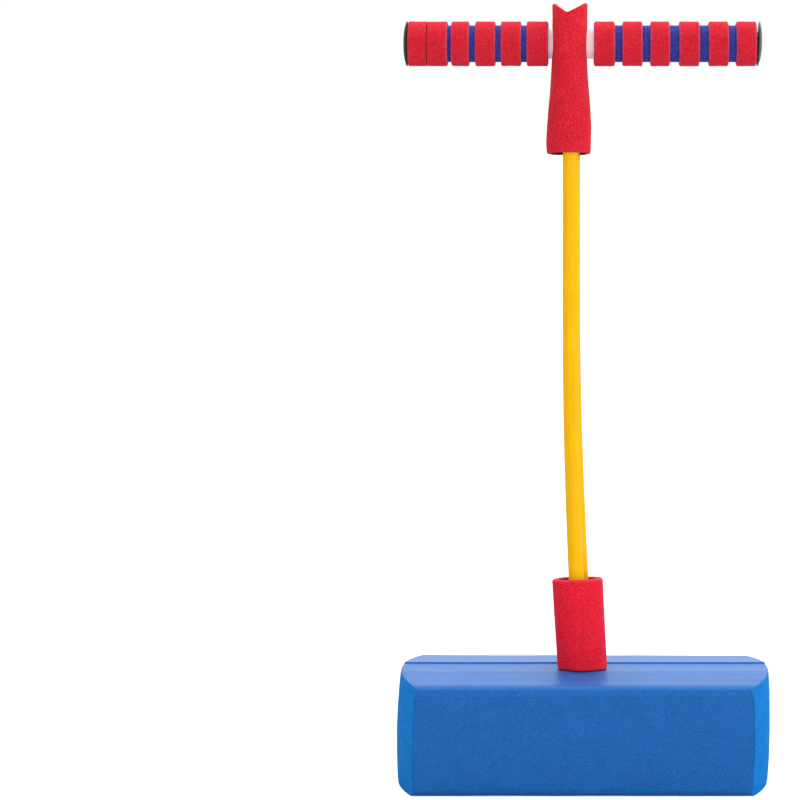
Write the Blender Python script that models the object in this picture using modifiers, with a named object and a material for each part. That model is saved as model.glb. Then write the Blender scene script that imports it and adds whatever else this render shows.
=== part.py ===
"""Foam jumper: a block of foam to stand on, two rubber cords that rise from it,
and a cross handle with ribbed foam grips.

Metres, +Z up. Origin: centre of the block's underside. X runs along the block
and along the handle, +Y is the rear, and the squeaker sits in the +X end.
"""
import math

import bmesh
import bpy
import numpy as np
from mathutils import Matrix

# ---------------------------------------------------------------- dimensions
GAP = 0.0003                # clearance left between neighbouring pieces
OVERRUN = 0.010             # how far a piece or cutter runs past the face it is cut at
ROUND = 24                  # facets round most turned pieces
ROUND_FINE = 32             # and round the wider ones

# foam block
BLOCK_LEN = 0.300           # over the bulged ends
FACE_LEN = 0.2687           # between the corners of one end and the other
BLOCK_W = 0.122
SIDE_H = 0.086              # where the long faces meet the top
STRIP_H = 0.0896            # inner edge of each sloping strip, the highest line
MID_H = 0.0886              # the flat middle strip, sunk between the two
STRIP_HALF = 0.0155         # half the middle strip's width
STRIP_STEP = 0.0012         # how far the step down to it leans inwards
EDGE_R = 0.0045             # rounding of the four long edges
UNDERCUT_H = 0.001          # shallow recess along the underside
CORD_BORE_R = 0.0170
POCKET_R = 0.0245           # pocket under the block for the cord anchor
POCKET_H = 0.024
END_SWEEP = 1.06            # end arcs run past the corners by this factor
END_STEPS = 16
TRIM_Z, TRIM_H = 0.045, 0.3

# squeaker in the +X end
SQ_HALF_Y, SQ_HALF_Z = 0.0170, 0.0285
SQ_Z = 0.0445
SQ_DEPTH = 0.062
SQ_POWER = 3.0              # squareness of the oval
PLUG_DEPTH = 0.020
PLUG_INSET = 0.0012
STAR_RADII = (0.0092, 0.0053)   # tips and notches of the hole in the plug
STAR_TALL = 1.85            # the star is stretched upwards
STAR_POINTS = 16
BELLOWS_X = 0.111
BELLOWS_R, FOLD_R = 0.0135, 0.0108
BELLOWS_WALL = 0.0012
BELLOWS_FOOT_Z = 0.0170
FOLD_TOP_Z, FOLD_PITCH, FOLDS = 0.0535, 0.0060, 5
SQ_STEPS = 20               # facets round bellows and reed

# collar round the cords where they leave the block
COLLAR_R, COLLAR_BORE_R, COLLAR_H = 0.0200, 0.0151, 0.0720
COLLAR_X0, COLLAR_X1 = -0.0010, -0.0050   # axis at the foot and at the rim
COLLAR_EDGE = 0.0022
COLLAR_SPARE = 0.004        # extra length below, trimmed flat
COLLAR_Z = STRIP_H + GAP
COLLAR_STEPS = 28
SLAB_SIZE = 0.1             # cube that trims the foot

# handle: places the cords depend on
BAR_Z = 0.5909
TUBE_R, TUBE_BORE_R = 0.0120, 0.0100
FLARE_Z = 0.506             # where the cords begin to part and the sleeve to widen

# cords
CORD_R = 0.00625
CORD_Y = 0.0065             # each cord's distance from the middle plane
TAIL_SPREAD = 0.0035        # extra distance at the anchored end
TAIL_SPREAD_Z = (0.030, 0.085)
LOOP_R = TUBE_R + GAP + CORD_R  # centre line of the cord over the bar
LOOP_STEPS = 12
LOOP_DROP = 0.001           # the straight runs stop this far below the bar's axis
TAIL_Z = 0.0070             # lower end of the tails
FREE_Z = 0.0985             # where the anchored tail ends and the first link begins
LINKS_Z = 0.180             # foot of the stretch measured out in LINKS
# that stretch, upwards: (length, axis the joint at mid-length turns on)
LINKS = [(0.022, "Y")] + [(0.030, "X")] * 8 + [(0.028, "Z"), (0.026, "Y")]
LINK_GAP = {"X": 0.0029, "Y": 0.0020, "Z": 0.0004}   # half the gap at each joint
CORD_SIDE = {"front": -1, "rear": 1}
# sideways lean: x below, x above, and the heights between which it changes
CORD_LEAN = {
    "front": (-0.0022, -0.0105, 0.085, 0.360),
    "rear": (0.0012, -0.0090, 0.095, 0.390),
}

# cord anchor, turned profiles of (radius, height)
ANCHOR_Z = 0.0185           # mid-height of the disc
HOLE_R = CORD_R + GAP
HOLE_CUT_LEN = 0.02
DISC_PROFILE = [
    (0.0, 0.0200), (0.0232, 0.0200), (0.0238, 0.0192),
    (0.0238, 0.0178), (0.0232, 0.0170), (0.0, 0.0170),
]
STOPPER_PROFILE = [
    (0.0086, 0.0166), (0.0090, 0.0160), (0.0090, 0.0088),
    (0.0084, 0.0080), (HOLE_R, 0.0080), (HOLE_R, 0.0166),
]
BOTTOM_PLUG_PROFILE = [
    (0.0, 0.0064), (0.0240, 0.0064), (0.0240, 0.0016), (0.0232, 0.0010), (0.0, 0.0010),
]
REED_PROFILE = [
    (0.0, 0.0640), (0.0046, 0.0640), (0.0068, 0.0625), (0.0068, 0.0568),
    (0.0042, 0.0568), (0.0042, 0.0535), (0.0, 0.0535),
]

# handle sleeve: round at the foot, a wide squarish oval at the bar
SLEEVE_X, SLEEVE_FOOT_X = -0.0105, -0.0118
SLEEVE_SHIFT_H = 0.07       # height over which the axis moves from one to the other
SLEEVE_Z0, SLEEVE_Z1 = 0.5020, 0.6236
FLARE_TOP_Z = 0.572
SLEEVE_FOOT_R = 0.01765
SLEEVE_HALF_X, SLEEVE_HALF_Y = 0.01430, 0.02860
SLEEVE_RIM_Z, SLEEVE_RIM_HALF_Y = 0.600, 0.0252   # drawn in above this height
SLEEVE_WALL, SLEEVE_THINNING = 0.00355, 0.0003
SLEEVE_POWER, SLEEVE_SQUARING = 2.0, 0.7
SLEEVE_NOTCH = 0.0080       # how far the front and rear of the top rim are drawn down
NOTCH_START = 0.80          # fraction of the height where that begins
SLEEVE_HEIGHTS = [0.0, 0.10, 0.22, 0.34, 0.46, 0.58, 0.70, 0.80, 0.90, 1.0]
OVAL_POINTS = 28            # round the sleeve and the squeaker
BAR_HOLE_R = 0.0126
BAR_HOLE_LEN = 0.08
BAR_HOLE_STEPS = 28

# handle bar
TUBE_X0, TUBE_X1 = -0.1400, 0.1388
LINER_R, LINER_BORE_R = 0.01475, 0.01235
RING_R, RING_BORE_R = 0.0181, 0.01505
RING_EDGE = 0.0011
# (start, end) of each foam ring along X
RINGS = {
    "left": [(-0.1413, -0.1259), (-0.1255, -0.1090), (-0.1064, -0.0915),
             (-0.0872, -0.0706), (-0.0666, -0.0498), (-0.0459, -0.0281)],
    "right": [(0.0080, 0.0255), (0.0310, 0.0476), (0.0535, 0.0695),
              (0.0765, 0.0933), (0.1002, 0.1166), (0.1224, 0.1391)],
}
CAP_R, CAP_RIM, CAP_DOME = 0.0180, 0.0008, 0.0025
DOME_R = CAP_R * 0.97
CAP_PLUG_R, CAP_PLUG_L, CAP_PLUG_EDGE = 0.0092, 0.0085, 0.001
LEFT_CAP_X, RIGHT_CAP_X, RIGHT_CAP_TILT = -0.1416, 0.14035, math.radians(2.6)

# base colour, roughness
FINISH = {
    "block_foam": ((0.010, 0.135, 0.52), 0.62),
    "red_foam": ((0.60, 0.010, 0.022), 0.75),
    "grip_liner": ((0.028, 0.035, 0.34), 0.60),
    "cord_rubber": ((0.95, 0.46, 0.002), 0.38),
    "cap_plastic": ((0.035, 0.035, 0.038), 0.42),
    "tube_plastic": ((0.82, 0.66, 0.64), 0.40),
    "squeaker_rubber": ((0.80, 0.78, 0.70), 0.50),
    "anchor_plastic": ((0.05, 0.05, 0.055), 0.50),
}

# local XY of an outline to world YZ, its depth along world X
ACROSS = Matrix(((0, 0, 1, 0), (1, 0, 0, 0), (0, 1, 0, 0), (0, 0, 0, 1)))

# ---------------------------------------------------------------- scene
for old in list(bpy.data.objects):
    bpy.data.objects.remove(old, do_unlink=True)

parts = bpy.data.collections.new("foam_jumper")
cutters = bpy.data.collections.new("cutters")
for collection in (parts, cutters):
    bpy.context.scene.collection.children.link(collection)


# ---------------------------------------------------------------- building tools
def finish(obj, kind):
    """Give the piece a material of its own."""
    colour, roughness = FINISH[kind]
    mat = bpy.data.materials.new(obj.name + "_mat")
    mat.use_nodes = True
    shader = mat.node_tree.nodes["Principled BSDF"]
    shader.inputs["Base Color"].default_value = (*colour, 1.0)
    shader.inputs["Roughness"].default_value = roughness
    obj.data.materials.clear()
    obj.data.materials.append(mat)


def smooth(mesh, degrees):
    mesh.shade_smooth()
    mesh.set_sharp_from_angle(angle=math.radians(degrees))


def add(name, data, group=parts):
    obj = bpy.data.objects.new(name, data)
    group.objects.link(obj)
    if group is cutters:
        obj.hide_render = True
        obj.display_type = "WIRE"
    return obj


def mesh_from(bm, name):
    mesh = bpy.data.meshes.new(name)
    bm.to_mesh(mesh)
    bm.free()
    return mesh


def turned(name, profile, steps=ROUND, group=parts):
    """Closed profile of (radius, height), turned about Z."""
    bm = bmesh.new()
    corners = [bm.verts.new((radius, 0.0, z)) for radius, z in profile]
    for start, end in zip(corners, corners[1:] + corners[:1]):
        if start.co.x < 1e-9 and end.co.x < 1e-9:
            continue                     # the stretch along the axis itself
        bm.edges.new((start, end))
    obj = add(name, mesh_from(bm, name), group)
    screw = obj.modifiers.new("turn", "SCREW")
    screw.axis = "Z"
    screw.angle = 2 * math.pi
    screw.steps = screw.render_steps = steps
    screw.use_merge_vertices = True
    screw.merge_threshold = 1e-5
    screw.use_smooth_shade = True
    return obj


def baked(obj):
    """Replace the object by its evaluated mesh, in the same place."""
    bpy.context.view_layer.update()
    graph = bpy.context.evaluated_depsgraph_get()
    mesh = bpy.data.meshes.new_from_object(obj.evaluated_get(graph))
    bm = bmesh.new()
    bm.from_mesh(mesh)
    bmesh.ops.remove_doubles(bm, verts=bm.verts, dist=1e-6)
    bm.to_mesh(mesh)
    bm.free()
    name = obj.name
    place = obj.matrix_world.copy()
    group = cutters if name in cutters.objects else parts
    bpy.data.objects.remove(obj, do_unlink=True)
    new = add(name, mesh, group)
    new.matrix_world = place
    return new


def outline(name, loops, depth, group=parts):
    """Flat outline in its own XY plane, filled and extruded by half its depth each way."""
    curve = bpy.data.curves.new(name, "CURVE")
    curve.dimensions = "2D"
    curve.fill_mode = "BOTH"
    curve.extrude = depth / 2
    for points in loops:
        spline = curve.splines.new("POLY")
        spline.points.add(len(points) - 1)
        for point, (x, y) in zip(spline.points, points):
            point.co = (x, y, 0.0, 1.0)
        spline.use_cyclic_u = True
    return add(name, curve, group)


def prism_along_x(name, loops, x0, x1, z=0.0, group=parts):
    """Loops of (y, z) points extruded from x0 to x1, raised by z."""
    obj = outline(name, loops, x1 - x0, group)
    obj.matrix_world = Matrix.Translation(((x0 + x1) / 2, 0, z)) @ ACROSS
    return baked(obj)


def cut(obj, tool, mode="DIFFERENCE"):
    mod = obj.modifiers.new("cut_" + tool.name, "BOOLEAN")
    mod.operation = mode
    mod.object = tool
    mod.solver = "EXACT"


def cylinder_cutter(name, radius, length, at, steps=ROUND_FINE):
    profile = [(0.0, length / 2), (radius, length / 2), (radius, -length / 2), (0.0, -length / 2)]
    obj = turned(name, profile, steps, cutters)
    obj.location = at
    return obj


def wire(name, points):
    """A length of cord along a line of points, ends filled."""
    curve = bpy.data.curves.new(name, "CURVE")
    curve.dimensions = "3D"
    curve.bevel_depth = CORD_R
    curve.bevel_resolution = 2
    curve.use_fill_caps = True
    spline = curve.splines.new("POLY")
    spline.points.add(len(points) - 1)
    for point, place in zip(spline.points, points):
        point.co = (*place, 1.0)
    finish(add(name, curve), "cord_rubber")


# ---------------------------------------------------------------- shapes
def ramp(value, start, end):
    """0 at start, 1 at end, held beyond both."""
    return min(max((value - start) / (end - start), 0.0), 1.0)


def ease(value, start, end):
    """The same with a soft start and finish."""
    t = ramp(value, start, end)
    return t * t * (3 - 2 * t)


def blend(first, last, t):
    return first + (last - first) * t


def arc(centre_y, centre_z, radius, start, end, steps):
    angles = [start + (end - start) * i / steps for i in range(steps + 1)]
    return [(centre_y + radius * math.cos(a), centre_z + radius * math.sin(a)) for a in angles]


def oval(half_across, half_up, power):
    """Superellipse: power 2 is an ellipse, more is squarer."""
    points = []
    for i in range(OVAL_POINTS):
        angle = 2 * math.pi * i / OVAL_POINTS
        c, s = math.cos(angle), math.sin(angle)
        points.append((math.copysign(abs(c) ** (2 / power), c) * half_across,
                       math.copysign(abs(s) ** (2 / power), s) * half_up))
    return points


def rounded_edge(radius, z, inset, drop):
    """Three profile points from the end face at z round to the wall at radius."""
    return [(radius - inset, z), (radius - 0.3 * inset, z - 0.3 * drop), (radius, z - drop)]


# ---------------------------------------------------------------- foam block
def block_section():
    """Outline of (y, z) points: the +Y half, then its mirror image."""
    half_w = BLOCK_W / 2
    slope = math.atan2(STRIP_H - SIDE_H, half_w - STRIP_HALF)
    half = [(STRIP_HALF - 0.001, UNDERCUT_H), (STRIP_HALF + 0.0005, UNDERCUT_H),
            (STRIP_HALF + 0.004, 0.0)]
    half += arc(half_w - EDGE_R, EDGE_R, EDGE_R, -math.pi / 2, 0.0, 4)
    half += arc(half_w - EDGE_R, SIDE_H - EDGE_R, EDGE_R, 0.0, math.pi / 2 - slope, 4)
    half += [(STRIP_HALF, STRIP_H), (STRIP_HALF - STRIP_STEP, MID_H)]
    return half + [(-y, z) for y, z in reversed(half)]


def end_trim():
    """Plan of the block, both ends bulging as arcs."""
    half_w = BLOCK_W / 2
    bulge = (BLOCK_LEN - FACE_LEN) / 2
    end_r = (half_w ** 2 + bulge ** 2) / (2 * bulge)
    sweep = math.asin(half_w / end_r) * END_SWEEP
    plan = []
    for side in (1, -1):
        for y, x in [(end_r * math.sin(a), BLOCK_LEN / 2 - end_r + end_r * math.cos(a))
                     for a in (-sweep + 2 * sweep * i / END_STEPS for i in range(END_STEPS + 1))]:
            plan.append((side * x, side * y))
    trim = baked(outline("end_trim", [plan], TRIM_H, cutters))
    trim.location.z = TRIM_Z
    return trim


def build_block():
    end = BLOCK_LEN / 2
    block = prism_along_x("base_block", [block_section()], -end - OVERRUN, end + OVERRUN)
    cut(block, end_trim(), "INTERSECT")
    cut(block, cylinder_cutter("cord_bore_cut", CORD_BORE_R, 0.2, (0, 0, 0.05)))
    cut(block, cylinder_cutter("pocket_cut", POCKET_R, 2 * POCKET_H, (0, 0, 0)))
    mouth = [oval(SQ_HALF_Y, SQ_HALF_Z, SQ_POWER)]
    cut(block, prism_along_x("squeaker_cut", mouth, end - SQ_DEPTH, end + 2 * OVERRUN - 0.0,
                             SQ_Z, cutters))
    finish(block, "block_foam")


# ---------------------------------------------------------------- squeaker
def build_squeaker_plug():
    """Oval plug with a star-shaped hole."""
    star = []
    for i in range(STAR_POINTS):
        angle = 2 * math.pi * i / STAR_POINTS
        radius = STAR_RADII[i % 2]
        star.append((radius * math.cos(angle), STAR_TALL * radius * math.sin(angle)))
    rim = oval(SQ_HALF_Y - GAP, SQ_HALF_Z - GAP, SQ_POWER)
    face_x = BLOCK_LEN / 2 - PLUG_INSET
    plug = prism_along_x("squeaker_plug", [rim, star], face_x - PLUG_DEPTH, face_x, SQ_Z)
    finish(plug, "red_foam")


def build_bellows():
    """Thin-walled bellows, open at the top and closed at the foot."""
    outer = [(0.0058, 0.0565), (0.0080, 0.0555)]
    for i in range(FOLDS):
        z = FOLD_TOP_Z - i * FOLD_PITCH
        outer += [(BELLOWS_R, z), (FOLD_R, z - FOLD_PITCH / 2)]
    z = FOLD_TOP_Z - FOLDS * FOLD_PITCH
    outer += [(BELLOWS_R - 0.0010, z), (0.0098, z - 0.0032), (0.0060, BELLOWS_FOOT_Z)]
    inner = [(radius - BELLOWS_WALL, z) for radius, z in outer]
    floor_z = BELLOWS_FOOT_Z + BELLOWS_WALL
    inner[-1] = (inner[-1][0], floor_z)
    profile = outer + [(0.0, BELLOWS_FOOT_Z), (0.0, floor_z)] + inner[::-1]
    bellows = turned("squeaker_bellows", profile, SQ_STEPS)
    bellows.location = (BELLOWS_X, 0, 0)
    bellows = baked(bellows)
    finish(bellows, "squeaker_rubber")
    smooth(bellows.data, 30)


def build_reed():
    reed = turned("squeaker_reed", REED_PROFILE, SQ_STEPS)
    reed.location = (BELLOWS_X, 0, 0)
    finish(reed, "anchor_plastic")


# ---------------------------------------------------------------- cords
def cord_point(cord, z):
    """Centre of a cord at a height: both lean to -X, and part at their two ends."""
    low, high, start, end = CORD_LEAN[cord]
    x = blend(low, high, math.sin(ramp(z, start, end) * math.pi / 2))
    y = CORD_Y + TAIL_SPREAD * (1 - ease(z, *TAIL_SPREAD_Z))
    y += (LOOP_R - CORD_Y) * ease(z, FLARE_Z, BAR_Z - TUBE_R)
    return x, CORD_SIDE[cord] * y, z


def path(cord, z0, z1, count=4):
    return [cord_point(cord, z) for z in np.linspace(z0, z1, count)]


def link_spans():
    """(foot, top) of each link, and the foot of the top loop."""
    spans = []
    foot = FREE_Z
    z = LINKS_Z
    for length, axis in LINKS:
        joint_z = z + length / 2
        spans.append((foot, joint_z - LINK_GAP[axis]))
        foot = joint_z + LINK_GAP[axis]
        z += length
    return spans, foot


def build_cords():
    spans, loop_foot = link_spans()
    for cord in CORD_SIDE:
        wire(cord + "_cord_tail", path(cord, TAIL_Z, FREE_Z - GAP, 10))
        for i, (foot, top) in enumerate(spans):
            wire(f"{cord}_cord_{i:02d}", path(cord, foot, top))

    # the top link is one piece: up in front, over the bar and down behind
    up = path("front", loop_foot, BAR_Z - LOOP_DROP, 14)
    down = path("rear", loop_foot, BAR_Z - LOOP_DROP, 14)
    over = []
    for i in range(LOOP_STEPS + 1):
        angle = math.pi * i / LOOP_STEPS
        over.append((blend(up[-1][0], down[-1][0], i / LOOP_STEPS),
                     -LOOP_R * math.cos(angle), BAR_Z + LOOP_R * math.sin(angle)))
    wire("cord_loop", up + over + down[::-1])


def build_anchor():
    """Disc the cords pass through, a stopper on each below it, and the bottom plug."""
    disc = turned("anchor_disc", DISC_PROFILE, ROUND_FINE)
    for cord in CORD_SIDE:
        place = cord_point(cord, ANCHOR_Z)
        cut(disc, cylinder_cutter(cord + "_disc_hole", HOLE_R, HOLE_CUT_LEN, place, ROUND))
        stopper = turned(cord + "_stopper", STOPPER_PROFILE)
        stopper.location = (place[0], place[1], 0)
        finish(stopper, "anchor_plastic")
    finish(disc, "anchor_plastic")
    finish(turned("bottom_plug", BOTTOM_PLUG_PROFILE, ROUND_FINE), "block_foam")


# ---------------------------------------------------------------- collar
def build_collar():
    """Leaning tube, its foot cut level just above the block."""
    profile = rounded_edge(COLLAR_R, COLLAR_H, COLLAR_EDGE, COLLAR_EDGE)
    profile += [(COLLAR_R, -COLLAR_SPARE), (COLLAR_BORE_R, -COLLAR_SPARE)]
    profile += rounded_edge(COLLAR_BORE_R, COLLAR_H, -COLLAR_EDGE, COLLAR_EDGE)[::-1]
    collar = turned("base_collar", profile, COLLAR_STEPS)
    collar.location = (COLLAR_X0, 0, COLLAR_Z)
    collar.rotation_euler = (0, math.atan2(COLLAR_X1 - COLLAR_X0, COLLAR_H), 0)
    collar = baked(collar)

    bm = bmesh.new()
    bmesh.ops.create_cube(bm, size=SLAB_SIZE)
    slab = add("collar_foot_cut", mesh_from(bm, "collar_foot_cut"), cutters)
    slab.location = (0, 0, COLLAR_Z - SLAB_SIZE / 2)
    cut(collar, slab)
    finish(collar, "red_foam")


# ---------------------------------------------------------------- handle sleeve
def sleeve_ring(bm, fraction, inner):
    """Vertices round the outer or inner skin at a fraction of the sleeve's height."""
    z = blend(SLEEVE_Z0, SLEEVE_Z1, fraction)
    flare = ease(z, FLARE_Z, FLARE_TOP_Z)
    half_x = blend(SLEEVE_FOOT_R, SLEEVE_HALF_X, flare)
    half_y = blend(SLEEVE_FOOT_R, SLEEVE_HALF_Y, flare)
    half_y += (SLEEVE_RIM_HALF_Y - SLEEVE_HALF_Y) * ease(z, SLEEVE_RIM_Z, SLEEVE_Z1)
    if inner:
        wall = SLEEVE_WALL - SLEEVE_THINNING * flare
        half_x -= wall
        half_y -= wall
    shift = ease(z, SLEEVE_Z0, SLEEVE_Z0 + SLEEVE_SHIFT_H)
    centre_x = blend(SLEEVE_FOOT_X, SLEEVE_X, shift)
    # the rim stands up at both sides and dips in front and behind
    notch = SLEEVE_NOTCH * ramp(fraction, NOTCH_START, 1.0)
    return [bm.verts.new((centre_x + x, y, z - notch * (1 - abs(x) / half_x)))
            for x, y in oval(half_x, half_y, SLEEVE_POWER + SLEEVE_SQUARING * flare)]


def bridge(bm, first, second, flip=False):
    """Quads between two rings of vertices."""
    for i in range(OVAL_POINTS):
        j = (i + 1) % OVAL_POINTS
        quad = (first[i], first[j], second[j], second[i])
        bm.faces.new(quad[::-1] if flip else quad)


def build_sleeve():
    bm = bmesh.new()
    outer = [sleeve_ring(bm, fraction, False) for fraction in SLEEVE_HEIGHTS]
    inner = [sleeve_ring(bm, fraction, True) for fraction in SLEEVE_HEIGHTS]
    for skin, flip in ((outer, False), (inner, True)):
        for low_ring, high_ring in zip(skin, skin[1:]):
            bridge(bm, low_ring, high_ring, flip)
    bridge(bm, outer[0], inner[0], flip=True)
    bridge(bm, outer[-1], inner[-1])
    mesh = mesh_from(bm, "handle_sleeve")
    smooth(mesh, 40)
    sleeve = add("handle_sleeve", mesh)
    hole = cylinder_cutter("bar_hole_cut", BAR_HOLE_R, BAR_HOLE_LEN,
                           (SLEEVE_X, 0, BAR_Z), BAR_HOLE_STEPS)
    hole.rotation_euler = (0, math.pi / 2, 0)
    cut(sleeve, hole)
    finish(sleeve, "red_foam")


# ---------------------------------------------------------------- handle bar
def lay_on_bar(obj, bar, x, turn=math.pi / 2):
    """Lay a turned piece along the bar, its top towards +X, or -X for a negative turn."""
    obj.parent = bar
    obj.location = (x, 0, 0)
    obj.rotation_euler = (0, turn, 0)


def bar_tube(name, bar, x0, x1, radius, bore, kind, steps=ROUND_FINE, edge=0.0):
    half = (x1 - x0) / 2
    if edge:
        wall = rounded_edge(radius, half, edge, edge)
        wall += rounded_edge(radius, -half, edge, -edge)[::-1]
    else:
        wall = [(radius, half), (radius, -half)]
    obj = turned(name, wall + [(bore, -half), (bore, half)], steps)
    lay_on_bar(obj, bar, (x0 + x1) / 2)
    finish(obj, kind)


def build_cap(name, bar, x, turn):
    """Low domed cap with a plug that enters the tube."""
    dome = []
    for i in range(5):
        angle = math.pi / 2 * i / 4
        dome.append((DOME_R * math.sin(angle), CAP_RIM + CAP_DOME * math.cos(angle)))
    cap = turned(name, dome + [
        (CAP_R, CAP_RIM * 0.6), (CAP_R, 0.0), (CAP_PLUG_R, 0.0),
        (CAP_PLUG_R, -CAP_PLUG_L + CAP_PLUG_EDGE), (CAP_PLUG_R - CAP_PLUG_EDGE, -CAP_PLUG_L),
        (0.0, -CAP_PLUG_L)], ROUND_FINE)
    lay_on_bar(cap, bar, x, turn)
    finish(cap, "cap_plastic")


def build_bar():
    bar = add("bar_axis", None)
    bar.location = (0, 0, BAR_Z)
    bar_tube("core_tube", bar, TUBE_X0, TUBE_X1, TUBE_R, TUBE_BORE_R, "tube_plastic")
    for side, spans in RINGS.items():
        bar_tube(side + "_liner", bar, spans[0][0] + GAP, spans[-1][1] - GAP,
                 LINER_R, LINER_BORE_R, "grip_liner")
        for i, (x0, x1) in enumerate(spans):
            bar_tube(f"{side}_ring_{i + 1}", bar, x0, x1, RING_R, RING_BORE_R,
                     "red_foam", ROUND, RING_EDGE)
    build_cap("left_cap", bar, LEFT_CAP_X, -math.pi / 2)
    build_cap("right_cap", bar, RIGHT_CAP_X, math.pi / 2 - RIGHT_CAP_TILT)


build_block()
build_squeaker_plug()
build_bellows()
build_reed()
build_cords()
build_anchor()
build_collar()
build_sleeve()
build_bar()
bpy.context.view_layer.update()
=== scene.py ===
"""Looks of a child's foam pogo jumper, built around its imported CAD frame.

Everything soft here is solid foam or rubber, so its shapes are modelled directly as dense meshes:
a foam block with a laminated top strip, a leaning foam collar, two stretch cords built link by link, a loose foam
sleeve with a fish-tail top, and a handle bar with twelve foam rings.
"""
import math

import bmesh
import bpy
import numpy as np
from mathutils import Matrix, Vector


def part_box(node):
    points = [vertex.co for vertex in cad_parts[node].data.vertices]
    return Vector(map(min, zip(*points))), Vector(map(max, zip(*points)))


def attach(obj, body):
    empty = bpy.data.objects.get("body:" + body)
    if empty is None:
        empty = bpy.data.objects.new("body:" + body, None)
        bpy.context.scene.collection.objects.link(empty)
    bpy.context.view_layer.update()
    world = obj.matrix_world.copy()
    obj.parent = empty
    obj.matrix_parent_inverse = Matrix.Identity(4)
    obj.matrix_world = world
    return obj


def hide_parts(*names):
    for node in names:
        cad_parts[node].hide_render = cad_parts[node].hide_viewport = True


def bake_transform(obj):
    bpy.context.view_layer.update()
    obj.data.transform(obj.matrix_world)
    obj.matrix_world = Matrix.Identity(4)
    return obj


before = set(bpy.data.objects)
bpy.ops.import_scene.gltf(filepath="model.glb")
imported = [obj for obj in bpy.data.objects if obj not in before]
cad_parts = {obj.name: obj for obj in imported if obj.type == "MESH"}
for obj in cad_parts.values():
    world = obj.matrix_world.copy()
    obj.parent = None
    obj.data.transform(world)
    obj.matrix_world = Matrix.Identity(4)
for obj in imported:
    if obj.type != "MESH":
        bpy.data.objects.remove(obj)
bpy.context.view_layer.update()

scene = bpy.context.scene
PI = math.pi


# ---------------------------------------------------------------- small helpers
def ease(t):
    t = min(max(t, 0.0), 1.0)
    return t * t * (3 - 2 * t)


def table(z, rows):
    """Smooth reading of a table of (height, value, ...) rows."""
    cols = np.array(rows, float)
    if z <= cols[0, 0]:
        return cols[0, 1:]
    if z >= cols[-1, 0]:
        return cols[-1, 1:]
    i = int(np.searchsorted(cols[:, 0], z)) - 1
    t = (z - cols[i, 0]) / (cols[i + 1, 0] - cols[i, 0])
    # Catmull-Rom, so that the outline has no corners at the rows
    p0, p1, p2, p3 = (cols[max(i - 1, 0), 1:], cols[i, 1:], cols[i + 1, 1:],
                      cols[min(i + 2, len(cols) - 1), 1:])
    return 0.5 * (2 * p1 + (p2 - p0) * t + (2 * p0 - 5 * p1 + 4 * p2 - p3) * t * t
                  + (3 * p1 - p0 - 3 * p2 + p3) * t ** 3)


def value_noise(points, scale, seed):
    """Repeatable smooth noise in -1..1 at each point."""
    q = np.asarray(points, float) * scale + 37.17 * (seed + 1)
    cell = np.floor(q).astype(np.int64)
    f = q - cell
    f = f * f * (3 - 2 * f)
    total = np.zeros(len(q))
    for dx in (0, 1):
        for dy in (0, 1):
            for dz in (0, 1):
                h = ((cell[:, 0] + dx) * 73856093) ^ ((cell[:, 1] + dy) * 19349663) \
                    ^ ((cell[:, 2] + dz) * 83492791) ^ (seed * 2654435761 & 0x7FFFFFFF)
                h = (h ^ (h >> 13)) * 1274126177 & 0x7FFFFFFF
                h = (h ^ (h >> 16)) & 0xFFFFFF
                w = (np.where(dx, f[:, 0], 1 - f[:, 0]) * np.where(dy, f[:, 1], 1 - f[:, 1])
                     * np.where(dz, f[:, 2], 1 - f[:, 2]))
                total += w * (h / 0xFFFFFF * 2 - 1)
    return total


def new_mesh(name, verts, faces, material=None, face_material=None):
    mesh = bpy.data.meshes.new(name)
    mesh.from_pydata([tuple(map(float, v)) for v in verts], [], [tuple(map(int, f)) for f in faces])
    mesh.update()
    obj = bpy.data.objects.new(name, mesh)
    scene.collection.objects.link(obj)
    for m in (material if isinstance(material, (list, tuple)) else [material]):
        if m:
            mesh.materials.append(m)
    if face_material is not None:
        mesh.polygons.foreach_set("material_index", np.asarray(face_material, np.int32))
    return obj


def outward(obj):
    bm = bmesh.new()
    bm.from_mesh(obj.data)
    bmesh.ops.recalc_face_normals(bm, faces=bm.faces)
    bm.to_mesh(obj.data)
    bm.free()
    return obj


def smooth(obj, angle=40):
    obj.data.shade_smooth()
    obj.data.set_sharp_from_angle(angle=math.radians(angle))
    return obj


def coords(obj):
    co = np.zeros(len(obj.data.vertices) * 3, np.float32)
    obj.data.vertices.foreach_get("co", co)
    return co.reshape(-1, 3).astype(float)


def set_coords(obj, co):
    obj.data.vertices.foreach_set("co", np.asarray(co, np.float32).ravel())
    obj.data.update()


def roughen(obj, layers, mask=None):
    """Moves the surface in and out a little: layers of (amplitude, scale, seed)."""
    co = coords(obj)
    normal = np.array([v.normal for v in obj.data.vertices], float)
    shift = np.zeros(len(co))
    for amount, scale, seed in layers:
        shift += amount * value_noise(co, scale, seed)
    if mask is not None:
        shift *= mask(co)
    set_coords(obj, co + normal * shift[:, None])
    return obj


def store(obj, name, values, kind="FLOAT"):
    """A value per vertex that a material can read."""
    layer = obj.data.attributes.new(name, kind, "POINT")
    values = np.asarray(values, np.float32)
    layer.data.foreach_set("value" if kind == "FLOAT" else "vector", values.ravel())


def apply_all(obj):
    graph = bpy.context.evaluated_depsgraph_get()
    bpy.context.view_layer.update()
    mesh = bpy.data.meshes.new_from_object(obj.evaluated_get(graph))
    obj.modifiers.clear()
    obj.data = mesh
    return obj


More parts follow.
